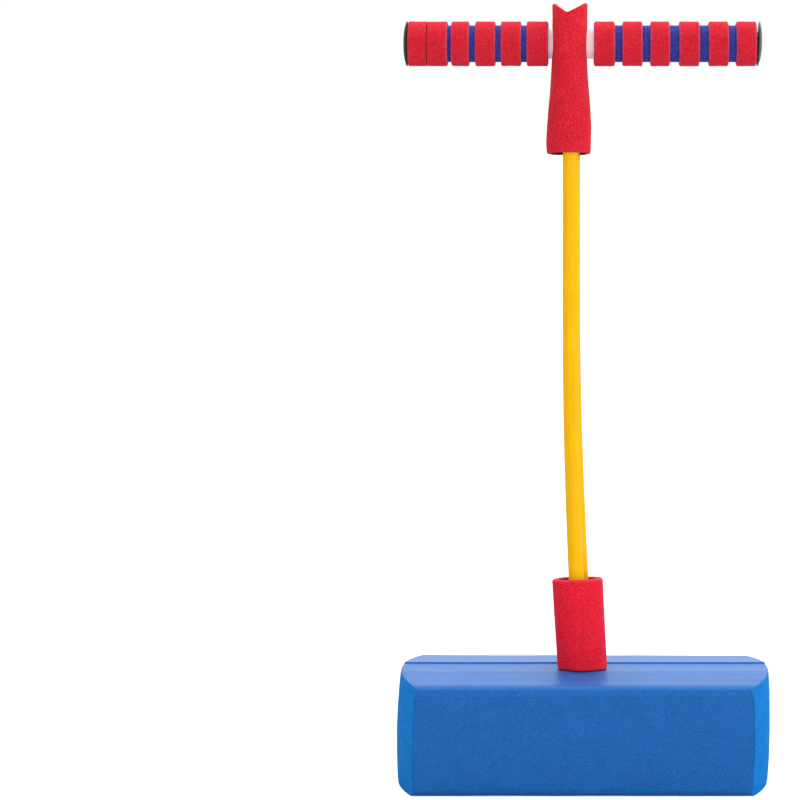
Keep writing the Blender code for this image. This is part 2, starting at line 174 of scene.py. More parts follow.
def round_corners(corners, segments=6):
    """Closed loop of (x, y, radius) corners as a fine outline with rounded corners."""
    out = []
    n = len(corners)
    for i, (x, y, r) in enumerate(corners):
        p = np.array((x, y), float)
        a = np.array(corners[i - 1][:2], float) - p
        b = np.array(corners[(i + 1) % n][:2], float) - p
        la, lb = np.linalg.norm(a), np.linalg.norm(b)
        a, b = a / la, b / lb
        half = math.acos(max(-1.0, min(1.0, float(a @ b)))) / 2
        if r <= 0 or half > PI / 2 - 1e-3:
            out.append(p)
            continue
        reach = min(r / math.tan(half), la * 0.49, lb * 0.49)
        r = reach * math.tan(half)
        centre = p + (a + b) / np.linalg.norm(a + b) * (r / math.sin(half))
        start, end = p + a * reach - centre, p + b * reach - centre
        turn = math.atan2(start[0] * end[1] - start[1] * end[0], float(start @ end))
        for k in range(segments + 1):
            t = turn * k / segments
            c, s = math.cos(t), math.sin(t)
            out.append(centre + np.array((start[0] * c - start[1] * s, start[0] * s + start[1] * c)))
    return out


def fill_in(loop, step, closed=True):
    """Adds points so that no stretch of the outline is longer than step."""
    out = []
    pairs = list(zip(loop, loop[1:] + loop[:1])) if closed else list(zip(loop, loop[1:]))
    for p, q in pairs:
        n = max(1, int(math.ceil(np.linalg.norm(np.array(q) - np.array(p)) / step)))
        out += [np.array(p) + (np.array(q) - np.array(p)) * k / n for k in range(n)]
    if not closed:
        out.append(np.array(loop[-1]))
    return out


def turned(name, loop, steps, material, axis="Z", closed=True):
    """Outline of (radius, height) turned about an axis. closed: a ring; else it starts and ends on the axis."""
    verts, faces, n = [], [], len(loop)
    body = loop if closed else loop[1:-1]
    m = len(body)
    for k in range(steps):
        a = 2 * PI * k / steps
        c, s = math.cos(a), math.sin(a)
        for r, h in body:
            verts.append((r * c, r * s, h) if axis == "Z" else (h, r * c, r * s))
    for k in range(steps):
        j = (k + 1) % steps
        for i in range(m if closed else m - 1):
            e = (i + 1) % m
            faces.append((k * m + i, j * m + i, j * m + e, k * m + e))
    if not closed:
        for end, ring in ((0, 0), (-1, m - 1)):
            h = loop[end][1]
            verts.append((0, 0, h) if axis == "Z" else (h, 0, 0))
            tip = len(verts) - 1
            for k in range(steps):
                j = (k + 1) % steps
                faces.append((k * m + ring, j * m + ring, tip))
    return outward(new_mesh(name, verts, faces, material))


# ---------------------------------------------------------------- materials
def new_material(name):
    mat = bpy.data.materials.new(name)
    mat.use_nodes = True
    tree = mat.node_tree
    shader = tree.nodes["Principled BSDF"]

    def node(kind, inputs=None, **settings):
        n = tree.nodes.new(kind)
        for key, value in settings.items():
            setattr(n, key, value)
        for key, value in (inputs or {}).items():
            if isinstance(value, bpy.types.NodeSocket):
                tree.links.new(value, n.inputs[key])
            else:
                n.inputs[key].default_value = value
        return n

    def join(socket, key):
        tree.links.new(socket, shader.inputs[key])

    return mat, shader, node, join


def ramp(node, source, stops, mode="LINEAR"):
    n = node("ShaderNodeValToRGB", {"Fac": source})
    n.color_ramp.interpolation = mode
    while len(n.color_ramp.elements) > 1:
        n.color_ramp.elements.remove(n.color_ramp.elements[-1])
    first = True
    for place, colour in stops:
        e = n.color_ramp.elements[0] if first else n.color_ramp.elements.new(place)
        e.position = place
        e.color = (*colour, 1.0) if len(colour) == 3 else (colour[0],) * 3 + (1.0,)
        first = False
    return n.outputs["Color"]


def shade(colour, factor, lift=0.0):
    return tuple(min(1.0, c * factor + lift) for c in colour)


def foam(name, colour, pit, light, grain=1500.0, rough=0.7, bump=0.00010, contrast=0.5,
         streak=0.0, sheen=0.12, rim=None, specular=0.4, patch=0.10, broad=0.0):
    """Closed-cell foam: fine speckle of pits and pale cell walls over soft larger patches."""
    mat, shader, node, join = new_material(name)
    where = node("ShaderNodeTexCoord").outputs["Object"]
    fine = node("ShaderNodeTexNoise", {"Vector": where, "Scale": grain, "Detail": 3.0, "Roughness": 0.62})
    cells = node("ShaderNodeTexVoronoi", {"Vector": where, "Scale": grain * 0.62, "Randomness": 1.0})
    large = node("ShaderNodeTexNoise", {"Vector": where, "Scale": 62.0, "Detail": 4.0, "Roughness": 0.55})
    mixed = node("ShaderNodeMath", {0: fine.outputs["Fac"], 1: cells.outputs["Distance"]},
                 operation="MULTIPLY_ADD")
    mixed.inputs[0].default_value = 0
    tree = mat.node_tree
    tree.links.new(cells.outputs["Distance"], mixed.inputs[0])
    mixed.inputs[1].default_value = 0.35
    tree.links.new(fine.outputs["Fac"], mixed.inputs[2])
    speckle = ramp(node, mixed.outputs[0], [(0.66 - 0.42 * contrast, pit), (0.66, colour),
                                            (0.66 + 0.42 * contrast, light)])
    tone = node("ShaderNodeMapRange", {"Value": large.outputs["Fac"], "From Min": 0.3, "From Max": 0.7,
                                       "To Min": 1.0 - patch, "To Max": 1.0 + patch})
    out = node("ShaderNodeVectorMath", {0: speckle}, operation="SCALE")
    tree.links.new(tone.outputs[0], out.inputs["Scale"])
    colour_out = out.outputs[0]
    height = mixed.outputs[0]
    if streak:
        # faint marks along the length, left by the way the sheet was made
        squeezed = node("ShaderNodeMapping", {"Vector": where})
        squeezed.inputs["Scale"].default_value = (9.0, 620.0, 620.0)
        lines = node("ShaderNodeTexNoise", {"Vector": squeezed.outputs[0], "Scale": 1.0, "Detail": 5.0,
                                            "Roughness": 0.7})
        band = node("ShaderNodeMapRange", {"Value": lines.outputs["Fac"], "From Min": 0.25, "From Max": 0.75,
                                           "To Min": 1.0 - streak, "To Max": 1.0 + streak})
        more = node("ShaderNodeVectorMath", {0: colour_out}, operation="SCALE")
        tree.links.new(band.outputs[0], more.inputs["Scale"])
        colour_out = more.outputs[0]
        both = node("ShaderNodeMath", {0: lines.outputs["Fac"], 1: 1.1, 2: height}, operation="MULTIPLY_ADD")
        height = both.outputs[0]
    if broad:
        # wider bands of the same kind, a few millimetres apart
        squeezed = node("ShaderNodeMapping", {"Vector": where})
        squeezed.inputs["Scale"].default_value = (2.2, 190.0, 60.0)
        lines = node("ShaderNodeTexNoise", {"Vector": squeezed.outputs[0], "Scale": 1.0, "Detail": 3.0,
                                            "Roughness": 0.6})
        upward = node("ShaderNodeSeparateXYZ", {0: node("ShaderNodeNewGeometry").outputs["Normal"]})
        amount = node("ShaderNodeMath", {0: upward.outputs[2], 1: 0.0}, operation="MAXIMUM")
        band = node("ShaderNodeMapRange", {"Value": lines.outputs["Fac"], "From Min": 0.3, "From Max": 0.7,
                                           "To Min": -broad, "To Max": broad})
        one = node("ShaderNodeMath", {0: band.outputs[0], 1: amount.outputs[0], 2: 1.0}, operation="MULTIPLY_ADD")
        more = node("ShaderNodeVectorMath", {0: colour_out}, operation="SCALE")
        tree.links.new(one.outputs[0], more.inputs["Scale"])
        colour_out = more.outputs[0]
    if rim:
        # edges marked on the mesh are paler and less saturated; on the block skin the mark is a painted highlight
        # along the lip of the front strip
        edge = node("ShaderNodeAttribute", attribute_name="rim")
        blend = node("ShaderNodeMix", {"Factor": edge.outputs["Fac"], "A": colour_out}, data_type="RGBA")
        blend.inputs[7].default_value = (*rim, 1.0)
        tree.links.new(edge.outputs["Fac"], blend.inputs[0])
        tree.links.new(colour_out, blend.inputs[6])
        colour_out = blend.outputs[2]
    # painted shade: the inside of a tube, marked on the mesh, is darkened to stand in for the shade that falls there
    inner = node("ShaderNodeAttribute", attribute_name="inner")
    dim = node("ShaderNodeMapRange", {"Value": inner.outputs["Fac"], "From Min": 0.0, "From Max": 1.0,
                                      "To Min": 1.0, "To Max": 0.22})
    less = node("ShaderNodeVectorMath", {0: colour_out}, operation="SCALE")
    tree.links.new(dim.outputs[0], less.inputs["Scale"])
    join(less.outputs[0], "Base Color")
    dull = node("ShaderNodeMapRange", {"Value": fine.outputs["Fac"], "From Min": 0.3, "From Max": 0.7,
                                       "To Min": rough - 0.07, "To Max": min(rough + 0.09, 1.0)})
    join(dull.outputs[0], "Roughness")
    relief = node("ShaderNodeBump", {"Height": height, "Strength": 0.9, "Distance": bump})
    join(relief.outputs["Normal"], "Normal")
    shader.inputs["Specular IOR Level"].default_value = specular
    shader.inputs["Sheen Weight"].default_value = sheen
    shader.inputs["Sheen Roughness"].default_value = 0.45
    shader.inputs["Sheen Tint"].default_value = (*shade(light, 1.0, 0.25), 1.0)
    return mat


def rubber(name, colour, side, rough=0.40):
    """Solid stretch cord: satin, with hair-fine drawing marks along it and painted edge shading: its outline is
    painted darker and greyer.
    """
    mat, shader, node, join = new_material(name)
    tree = mat.node_tree
    along = node("ShaderNodeAttribute", attribute_name="cord_co").outputs["Vector"]
    squeezed = node("ShaderNodeMapping", {"Vector": along})
    squeezed.inputs["Scale"].default_value = (520.0, 520.0, 14.0)
    marks = node("ShaderNodeTexNoise", {"Vector": squeezed.outputs[0], "Scale": 1.0, "Detail": 4.0,
                                        "Roughness": 0.6})
    spots = node("ShaderNodeTexNoise", {"Vector": along, "Scale": 900.0, "Detail": 3.0})
    wide = node("ShaderNodeTexNoise", {"Vector": along, "Scale": 45.0, "Detail": 2.0})
    base = ramp(node, marks.outputs["Fac"], [(0.25, shade(colour, 0.90)), (0.5, colour),
                                             (0.78, shade(colour, 1.0, 0.02))])
    # painted shading: toward the outline, where the cord is seen at a grazing angle, the colour turns to the darker,
    # greyer side colour
    facing = node("ShaderNodeLayerWeight", {"Blend": 0.42})
    edge = ramp(node, facing.outputs["Facing"], [(0.45, (0.0,)), (0.95, (1.0,))])
    blend = node("ShaderNodeMix", data_type="RGBA")
    tree.links.new(edge, blend.inputs[0])
    tree.links.new(base, blend.inputs[6])
    blend.inputs[7].default_value = (*side, 1.0)
    tone = node("ShaderNodeMapRange", {"Value": wide.outputs["Fac"], "From Min": 0.3, "From Max": 0.7,
                                       "To Min": 0.95, "To Max": 1.04})
    out = node("ShaderNodeVectorMath", {0: blend.outputs[2]}, operation="SCALE")
    tree.links.new(tone.outputs[0], out.inputs["Scale"])
    join(out.outputs[0], "Base Color")
    dull = node("ShaderNodeMapRange", {"Value": spots.outputs["Fac"], "From Min": 0.3, "From Max": 0.7,
                                       "To Min": rough - 0.05, "To Max": rough + 0.09})
    join(dull.outputs[0], "Roughness")
    both = node("ShaderNodeMath", {0: marks.outputs["Fac"], 1: 0.8, 2: spots.outputs["Fac"]},
                operation="MULTIPLY_ADD")
    relief = node("ShaderNodeBump", {"Height": both.outputs[0], "Strength": 0.5, "Distance": 0.00006})
    join(relief.outputs["Normal"], "Normal")
    shader.inputs["Specular IOR Level"].default_value = 0.08
    return mat


def plastic(name, colour, other, rough=0.42, grain=1400.0, bump=0.00003, mottle=0.5, specular=0.5,
            glow=0.0):
    """Moulded plastic: faint mottling, fine texture, worn spots that shine a little more."""
    mat, shader, node, join = new_material(name)
    tree = mat.node_tree
    where = node("ShaderNodeTexCoord").outputs["Object"]
    blotch = node("ShaderNodeTexNoise", {"Vector": where, "Scale": 210.0, "Detail": 5.0, "Roughness": 0.65})
    fine = node("ShaderNodeTexNoise", {"Vector": where, "Scale": grain, "Detail": 3.0})
    base = ramp(node, blotch.outputs["Fac"], [(0.5 - 0.35 * mottle, colour), (0.5 + 0.35 * mottle, other)])
    join(base, "Base Color")
    dull = node("ShaderNodeMapRange", {"Value": blotch.outputs["Fac"], "From Min": 0.3, "From Max": 0.7,
                                       "To Min": rough - 0.08, "To Max": rough + 0.10})
    join(dull.outputs[0], "Roughness")
    relief = node("ShaderNodeBump", {"Height": fine.outputs["Fac"], "Strength": 0.6, "Distance": bump})
    join(relief.outputs["Normal"], "Normal")
    shader.inputs["Specular IOR Level"].default_value = specular
    if glow:
        # painted light: the plastic glows faintly in its own colour, to brighten a tube that sits in shade between
        # the sleeve and the rings
        join(base, "Emission Color")
        shader.inputs["Emission Strength"].default_value = glow
    return mat


BLUE = (0.0015, 0.114, 0.408)
BLUE_CUT = (0.0012, 0.180, 0.545)
RED = (0.690, 0.0080, 0.0270)
# block_skin's rim colour is the painted highlight along the lip of the front strip
skin = foam("block_skin", BLUE, shade(BLUE, 0.80), shade(BLUE, 1.14, 0.008), grain=1500, rough=0.38,
            bump=0.000045, contrast=0.68, streak=0.07, sheen=0.0, specular=0.20, patch=0.05,
            rim=(0.10, 0.30, 0.66), broad=0.13)
cut_face = foam("block_cut_face", BLUE_CUT, shade(BLUE_CUT, 0.68), shade(BLUE_CUT, 1.18, 0.008), grain=1350,
                rough=0.90, bump=0.00022, contrast=0.66, sheen=0.0, specular=0.05, patch=0.05)
# The collar, the grip rings and the sleeve are one red foam in three copies: the collar's is made lighter, as painted
# light, and the sleeve's darker, as painted shade, for how light falls on each; the rings' copy is darker still.
COLLAR_RED = (0.755, 0.0062, 0.0275)
red = foam("red_foam", COLLAR_RED, shade(COLLAR_RED, 0.82), shade(COLLAR_RED, 1.08, 0.018), grain=1700,
           rough=0.80, bump=0.00010, contrast=0.72, sheen=0.01, specular=0.10, rim=(0.56, 0.10, 0.19),
           patch=0.06)
RING_RED, SLEEVE_RED = shade(RED, 0.84), shade(RED, 0.91)
red_ring = foam("red_grip_foam", RING_RED, shade(RING_RED, 0.82), shade(RING_RED, 1.08, 0.018), grain=1700,
                rough=0.80, bump=0.00010, contrast=0.72, sheen=0.01, specular=0.10, rim=(0.56, 0.10, 0.22),
                patch=0.06)
red_sleeve = foam("red_sleeve_foam", SLEEVE_RED, shade(SLEEVE_RED, 0.78), shade(SLEEVE_RED, 1.08, 0.018),
                  grain=1500, rough=0.80, bump=0.00012, contrast=0.66, sheen=0.01, specular=0.10,
                  rim=(0.50, 0.07, 0.14), patch=0.09)
red_plug = foam("red_plug", (0.72, 0.020, 0.030), (0.55, 0.012, 0.022), (0.80, 0.050, 0.065), grain=1500,
                rough=0.62, bump=0.00010, contrast=0.7, sheen=0.15, specular=0.35, patch=0.05)
violet = foam("grip_liner", (0.019, 0.026, 0.240), (0.012, 0.017, 0.180), (0.040, 0.052, 0.340), grain=1600,
              rough=0.68, bump=0.00009, contrast=0.6, sheen=0.0, specular=0.12, patch=0.08)
# cord_rubber's second colour is the painted darker, greyer outline
yellow = rubber("cord_rubber", (0.930, 0.500, 0.0006), (0.780, 0.425, 0.0050))
black = plastic("cap_black", (0.021, 0.013, 0.012), (0.046, 0.033, 0.030), rough=0.60, mottle=0.7,
                specular=0.20)
grey = plastic("cap_grey", (0.046, 0.042, 0.040), (0.085, 0.078, 0.074), rough=0.44, mottle=0.6)
# core tube: its pink tint is painted red light bounced from the foam around it, and its glow is painted light
tube_mat = plastic("core_tube", (0.93, 0.70, 0.71), (0.97, 0.80, 0.80), rough=0.38, mottle=0.9, glow=0.15)
cream = plastic("squeaker_rubber", (0.72, 0.68, 0.56), (0.82, 0.79, 0.68), rough=0.48, mottle=0.8)
dark = plastic("anchor_plastic", (0.030, 0.030, 0.034), (0.055, 0.055, 0.060), rough=0.50, mottle=0.6)

# every carried-over CAD node, shown or hidden, gets one of these finishes
for node_name, node_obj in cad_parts.items():
    if node_name.startswith(("front_cord", "rear_cord", "cord_loop")):
        finish = yellow
    elif "ring" in node_name:
        finish = red_ring
    elif node_name in ("base_collar", "handle_sleeve"):
        finish = red if node_name == "base_collar" else red_sleeve
    elif "liner" in node_name:
        finish = violet
    else:
        finish = {"base_block": skin, "bottom_plug": cut_face, "squeaker_plug": red_plug,
                  "squeaker_bellows": cream, "core_tube": tube_mat, "left_cap": black,
                  "right_cap": grey}.get(node_name, dark)
    node_obj.data.materials.clear()
    node_obj.data.materials.append(finish)


def keep(obj, body, slot, *nodes):
    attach(obj, body)
    if nodes:
        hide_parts(*nodes)
    return obj


# ---------------------------------------------------------------- foam block
lo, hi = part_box("base_block")
HALF_L, HALF_W, TOP = hi.x, hi.y, hi.z          # 150, 61, 89.6 mm
SIDE_H, STRIP_HALF, SUNK = 0.0860, 0.0155, 0.0010     # the middle strip lies between two higher ones
FACE_HALF = 0.13435                              # half length along the long faces
EDGE_TOP, EDGE_REAR, EDGE_FOOT = 0.0074, 0.0040, 0.0062   # how round the long edges are
LIP_FRONT, LIP_REAR = 0.0155, 0.0176             # where the sloping strips end
BARREL = 0.0021                                  # how far the ends swell between top and bottom
SWELL = {-1: 0.031, 1: 0.050}                    # the height where each end swells most
bulge = HALF_L - FACE_HALF
END_R = (HALF_W ** 2 + bulge ** 2) / (2 * bulge)


def end_x(y, z, side=1):
    """Where the end face is, to the side of the middle."""
    mid = HALF_L - END_R + np.sqrt(np.maximum(END_R ** 2 - np.asarray(y) ** 2, 0))
    height = np.where(np.asarray(side) < 0, SWELL[-1], SWELL[1])
    return mid - BARREL * ((np.asarray(z) - height) / 0.0465) ** 2


def top_z(y, x=0.0):
    """Height of the top: two sloping strips, and a flat one sunk between them."""
    rear = y > 0
    y = abs(y)
    lip, edge, side_h = (LIP_REAR, EDGE_REAR, SIDE_H + 0.0006 - 0.0022 * x) if rear else (LIP_FRONT, EDGE_TOP, SIDE_H)
    step = 0.0003 if rear else 0.0007
    if y < lip:
        return TOP - SUNK + (SUNK - 0.00012) * ease((y - (lip - step)) / step)
    z = TOP + (side_h - TOP) * (y - lip) / (HALF_W - lip)
    z -= 0.00012 * (1 - ease((y - lip) / 0.0005))
    if y > HALF_W - edge:
        across = min((y - (HALF_W - edge)) / edge, 1.0)
        z -= edge * (1 - math.sqrt(max(1 - across ** 2, 0.0)))
    return z


def bottom_z(y):
    y = abs(y)
    z = 0.001 * (1 - ease((y - (STRIP_HALF - 0.0006)) / 0.0012))
    if y > HALF_W - EDGE_FOOT:
        across = min((y - (HALF_W - EDGE_FOOT)) / EDGE_FOOT, 1.0)
        z += EDGE_FOOT * (1 - math.sqrt(max(1 - across ** 2, 0.0)))
    return z


def half_columns(lip, step, edge):
    out = list(np.linspace(0, lip - 0.0016, 9)) + [lip - step, lip - 0.66 * step, lip - 0.33 * step, lip,
                                                   lip + 0.0003, lip + 0.0006, lip + 0.0011, lip + 0.0020]
    out += list(np.linspace(lip + 0.0036, HALF_W - edge, 14))
    return out + [HALF_W - edge + edge * math.sin(a) for a in np.linspace(PI / 24, PI / 2, 12)]


cols = [-y for y in half_columns(LIP_FRONT, 0.0007, EDGE_TOP)[:0:-1]] + half_columns(LIP_REAR, 0.0003, EDGE_REAR)
ROWS = 30
NC = len(cols)


def section(x):
    grid = np.zeros((NC, ROWS + 1, 2))
    for j, y in enumerate(cols):
        low, high = bottom_z(y), top_z(y, x)
        for i in range(ROWS + 1):
            grid[j, i] = (y, low + (high - low) * i / ROWS)
    return grid


edge_cells = ([(j, 0) for j in range(NC)] + [(NC - 1, i) for i in range(1, ROWS + 1)]
              + [(j, ROWS) for j in range(NC - 2, -1, -1)] + [(0, i) for i in range(ROWS - 1, 0, -1)])
# stations along the length: close together at the ends, where the cut edge is softened a little
half_stations = [0.0] + list(np.linspace(0.030, 0.955, 34)) + [0.975, 0.988, 0.9945, 0.9975, 0.9990]
stations = [-s for s in half_stations[:0:-1]] + half_stations
verts, faces, kinds = [], [], []
P = len(edge_cells)
for u in stations:
    inset = 0.00045 * max(0.0, (abs(u) - 0.9945) / 0.0045) ** 2
    grid = section(u * HALF_L)
    for j, i in edge_cells:
        y, z = grid[j, i]
        # the very edge of the skin turns in by less than half a millimetre
        verts.append((u * float(end_x(y, z, u)), y * (1 - inset / HALF_W),
                      0.045 + (z - 0.045) * (1 - inset / 0.045)))
for s in range(len(stations) - 1):
    for k in range(P):
        e = (k + 1) % P
        faces.append((s * P + k, s * P + e, (s + 1) * P + e, (s + 1) * P + k))
        kinds.append(0)
for side, s in ((-1, 0), (1, len(stations) - 1)):
    index, grid = {}, section(side * HALF_L)
    for k, cell in enumerate(edge_cells):
        index[cell] = s * P + k
    for j in range(1, NC - 1):
        for i in range(1, ROWS):
            y, z = grid[j, i]
            index[(j, i)] = len(verts)
            verts.append((side * float(end_x(y, z, side)), y, z))
    for j in range(NC - 1):
        for i in range(ROWS):
            faces.append((index[(j, i)], index[(j + 1, i)], index[(j + 1, i + 1)], index[(j, i + 1)]))
            kinds.append(1)
block = outward(new_mesh("foam_block", verts, faces, [skin, cut_face], kinds))


def cutter(name, obj):
    obj.name = name
    obj.hide_render = True
    return obj


def superellipse(half_a, half_b, n, power=3.0):
    out = []
    for i in range(n):
        t = 2 * PI * i / n
        c, s = math.cos(t), math.sin(t)
        out.append((math.copysign(abs(c) ** (2 / power), c) * half_a,
                    math.copysign(abs(s) ** (2 / power), s) * half_b))
    return out


def prism(name, outline, x0, x1, material):
    """Outline in (y, z) run along X from x0 to x1."""
    n = len(outline)
    v = [(x0, y, z) for y, z in outline] + [(x1, y, z) for y, z in outline]
    f = [(i, (i + 1) % n, n + (i + 1) % n, n + i) for i in range(n)]
    f += [tuple(range(n))[::-1], tuple(range(n, 2 * n))]
    return outward(new_mesh(name, v, f, material))


plug_lo, plug_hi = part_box("squeaker_plug")
SQ_Z = (plug_lo.z + plug_hi.z) / 2
SQ_Y, SQ_H = plug_hi.y + 0.0003, (plug_hi.z - plug_lo.z) / 2 + 0.0003
bore = turned("bore_tool", [(0, 0.2), (0.0170, 0.2), (0.0170, -0.1), (0, -0.1)], 64, cut_face, closed=False)
pocket = turned("pocket_tool", [(0, 0.024), (0.0245, 0.024), (0.0245, -0.1), (0, -0.1)], 64, cut_face,
                closed=False)
mouth = prism("mouth_tool", [(y, SQ_Z + z) for y, z in superellipse(SQ_Y, SQ_H, 72)],
              HALF_L - 0.062, HALF_L + 0.01, cut_face)
for tool in (bore, pocket, mouth):
    mod = block.modifiers.new("cut", "BOOLEAN")
    mod.operation, mod.solver, mod.object = "DIFFERENCE", "EXACT", tool
    mod.material_mode = "TRANSFER"
apply_all(block)
for tool in (bore, pocket, mouth):
    bpy.data.objects.remove(tool, do_unlink=True)
# the cuts leave many-sided faces and a few points a hair apart
cleaned = bmesh.new()
cleaned.from_mesh(block.data)
bmesh.ops.dissolve_degenerate(cleaned, dist=0.00002, edges=cleaned.edges[:])
bmesh.ops.triangulate(cleaned, faces=[f for f in cleaned.faces if len(f.verts) > 4],
                      quad_method="BEAUTY", ngon_method="BEAUTY")
bmesh.ops.dissolve_degenerate(cleaned, dist=0.00002, edges=cleaned.edges[:])
cleaned.to_mesh(block.data)
cleaned.free()
co = coords(block)
shift = 0.00012 * value_noise(co, 26.0, 3) + 0.00005 * value_noise(co, 90.0, 4)
inside = (np.hypot(co[:, 0], co[:, 1]) > 0.026) & (np.abs(co[:, 1]) + 0 * co[:, 0] > -1)
normal = np.array([v.normal for v in block.data.vertices], float)
away = np.clip((np.hypot(co[:, 1] / SQ_Y, (co[:, 2] - SQ_Z) / SQ_H) - 1.1) / 0.3, 0, 1)
away = np.where(co[:, 0] > 0.08, away, 1.0)
co = co + normal * (shift * inside * away)[:, None]
set_coords(block, np.stack([np.clip(co[:, 0], -HALF_L, HALF_L), np.clip(co[:, 1], -HALF_W, HALF_W),
                            np.clip(co[:, 2], 0.0, TOP)], 1))
# painted highlight: a pale band along the lip of the front strip, on the top side only, stands in for the light the
# lip catches
top_side = np.clip((co[:, 2] - 0.070) / 0.01, 0, 1)
lip = np.clip(1 - np.abs(co[:, 1] + LIP_FRONT) / 0.0012, 0, 1)
store(block, "rim", 0.75 * lip * top_side * (0.8 + 0.2 * value_noise(co * np.array((1, 0, 0)), 60.0, 6)))
smooth(block, 32)
keep(block, "base", "block_foam", "base_block")

# disc of foam let into the underside
lid_lo, lid_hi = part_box("bottom_plug")
lid_r = lid_hi.x
lid = turned("block_lid", [np.array((0, lid_hi.z))] + fill_in([
    np.array(p) for p in [(0.004, lid_hi.z), (lid_r - 0.0006, lid_hi.z), (lid_r, lid_hi.z - 0.0006),
                          (lid_r, lid_lo.z + 0.0009), (lid_r - 0.0004, lid_lo.z + 0.0003),
                          (lid_r - 0.0011, lid_lo.z), (0.004, lid_lo.z)]], 0.0016, closed=False)
    + [np.array((0, lid_lo.z))], 72, skin, closed=False)
keep(smooth(roughen(lid, [(0.00008, 120.0, 11)], lambda c: np.hypot(c[:, 0], c[:, 1]) < lid_r - 0.002), 35),
     "base", "block_foam", "bottom_plug")

# ---------------------------------------------------------------- squeaker plug
star = []
for i in range(16):
    a = 2 * PI * i / 16
    r = (0.0092, 0.0053)[i % 2] * (1 + 0.16 * math.sin(5.1 * i + 0.7)) - 0.0003
    a += 0.09 * math.sin(3.7 * i)
    star.append((1.0 * r * math.cos(a), SQ_Z + 1.85 * r * math.sin(a)))
curve = bpy.data.curves.new("plug_outline", "CURVE")
curve.dimensions, curve.fill_mode, curve.extrude = "2D", "BOTH", (plug_hi.x - plug_lo.x) / 2
for points in ([(y, SQ_Z + z) for y, z in superellipse(plug_hi.y, (plug_hi.z - plug_lo.z) / 2, 64)], star):
    spline = curve.splines.new("POLY")
    spline.points.add(len(points) - 1)
    for p, (y, z) in zip(spline.points, points):
        p.co = (y, z, 0.0, 1.0)
    spline.use_cyclic_u = True
plug = bpy.data.objects.new("squeaker_face", curve)
scene.collection.objects.link(plug)
plug.matrix_world = Matrix.Translation(((plug_lo.x + plug_hi.x) / 2, 0, 0)) @ Matrix(
    ((0, 0, 1, 0), (1, 0, 0, 0), (0, 1, 0, 0), (0, 0, 0, 1)))
bpy.context.view_layer.update()
graph = bpy.context.evaluated_depsgraph_get()
plug_mesh = bpy.data.meshes.new_from_object(plug.evaluated_get(graph))
plug_mesh.transform(plug.matrix_world)
bpy.data.objects.remove(plug, do_unlink=True)
plug = bpy.data.objects.new("squeaker_face", plug_mesh)
scene.collection.objects.link(plug)
bm = bmesh.new()
bm.from_mesh(plug_mesh)
bmesh.ops.remove_doubles(bm, verts=bm.verts, dist=1e-6)
bm.to_mesh(plug_mesh)
bm.free()
plug_mesh.materials.clear()
plug_mesh.materials.append(red_plug)
mod = plug.modifiers.new("remesh", "REMESH")
mod.mode, mod.voxel_size, mod.adaptivity = "VOXEL", 0.00055, 0.0
mod = plug.modifiers.new("soften", "SMOOTH")
mod.factor, mod.iterations = 0.5, 2
apply_all(plug)
co = coords(plug)
t = np.clip((co[:, 0] - plug_lo.x) / (plug_hi.x - plug_lo.x), 0, 1)
face = end_x(co[:, 1], co[:, 2]) - 0.0010
co[:, 0] = co[:, 0] + (face - plug_hi.x) * t ** 2
set_coords(plug, co)
roughen(plug, [(0.00009, 160.0, 21), (0.00005, 420.0, 22)])
plug.data.shade_smooth()
keep(plug, "base", "red_foam", "squeaker_plug")

# bellows of the squeaker, seen only through the plug's opening
bel_lo, bel_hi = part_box("squeaker_bellows")
bx = (bel_lo.x + bel_hi.x) / 2
BELLOWS_R, FOLD_R = 0.0135, 0.0108
folds = [(0.0058, bel_hi.z, 0.0003), (0.0080, bel_hi.z - 0.0010, 0.0006)]
z = 0.0535
for i in range(5):
    folds += [(BELLOWS_R, z, 0.0005), (FOLD_R, z - 0.0030, 0.0006)]
    z -= 0.0060
folds += [(BELLOWS_R - 0.0010, z, 0.0006), (0.0098, z - 0.0032, 0.0006), (0.0060, bel_lo.z, 0.0004)]
inner = [(max(r - 0.0012, 0.001), zz + (0.0012 if i == len(folds) - 1 else 0.0), e)
         for i, (r, zz, e) in enumerate(folds)]
inner[0] = (0.0046, bel_hi.z, 0.0003)
outline = round_corners(folds + [(0.0021, bel_lo.z, 0.0)] + [(0.0021, bel_lo.z + 0.0012, 0.0)]
                        + inner[::-1], 4)
# the floor of the bellows is closed by its own turned disc inside the same outline
bellows = turned("squeaker_folds", [np.array(p) for p in outline], 56, cream)
set_coords(bellows, coords(bellows) + np.array((bx, 0, 0)))
smooth(bellows, 50)
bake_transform(bellows)
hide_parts("squeaker_bellows")

reed_lo, reed_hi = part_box("squeaker_reed")
reed = turned("squeaker_whistle", [np.array((0, reed_hi.z))] + [np.array(p) for p in [
    (0.0015, reed_hi.z), (0.0016, reed_hi.z - 0.0012), (0.0030, reed_hi.z - 0.0012), (0.0031, reed_hi.z),
    (0.0046, reed_hi.z), (0.0062, reed_hi.z - 0.0009), (0.0068, reed_hi.z - 0.0017), (0.0068, 0.0572),
    (0.0064, 0.0568), (0.0042, 0.0568), (0.0042, reed_lo.z)]] + [np.array((0, reed_lo.z))], 40, dark,
    closed=False)
set_coords(reed, coords(reed) + np.array((bx, 0, 0)))
keep(smooth(reed, 40), "squeaker_top", "anchor_plastic", "squeaker_reed")

# ---------------------------------------------------------------- collar
col_lo, col_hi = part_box("base_collar")
COLLAR_R, COLLAR_BORE = 0.0200, 0.0151
foot = col_lo.z
height = 0.0720
x0 = -0.0010
outline = round_corners([(COLLAR_R, 0.0, 0.0016), (COLLAR_R, height, 0.0030),
                         (COLLAR_BORE, height, 0.0014), (COLLAR_BORE, 0.0, 0.0006)], 7)
outline = fill_in(outline, 0.0018)
collar = turned("foam_collar", outline, 128, red)
co = coords(collar)
h = np.clip(co[:, 2] / height, 0, 1)
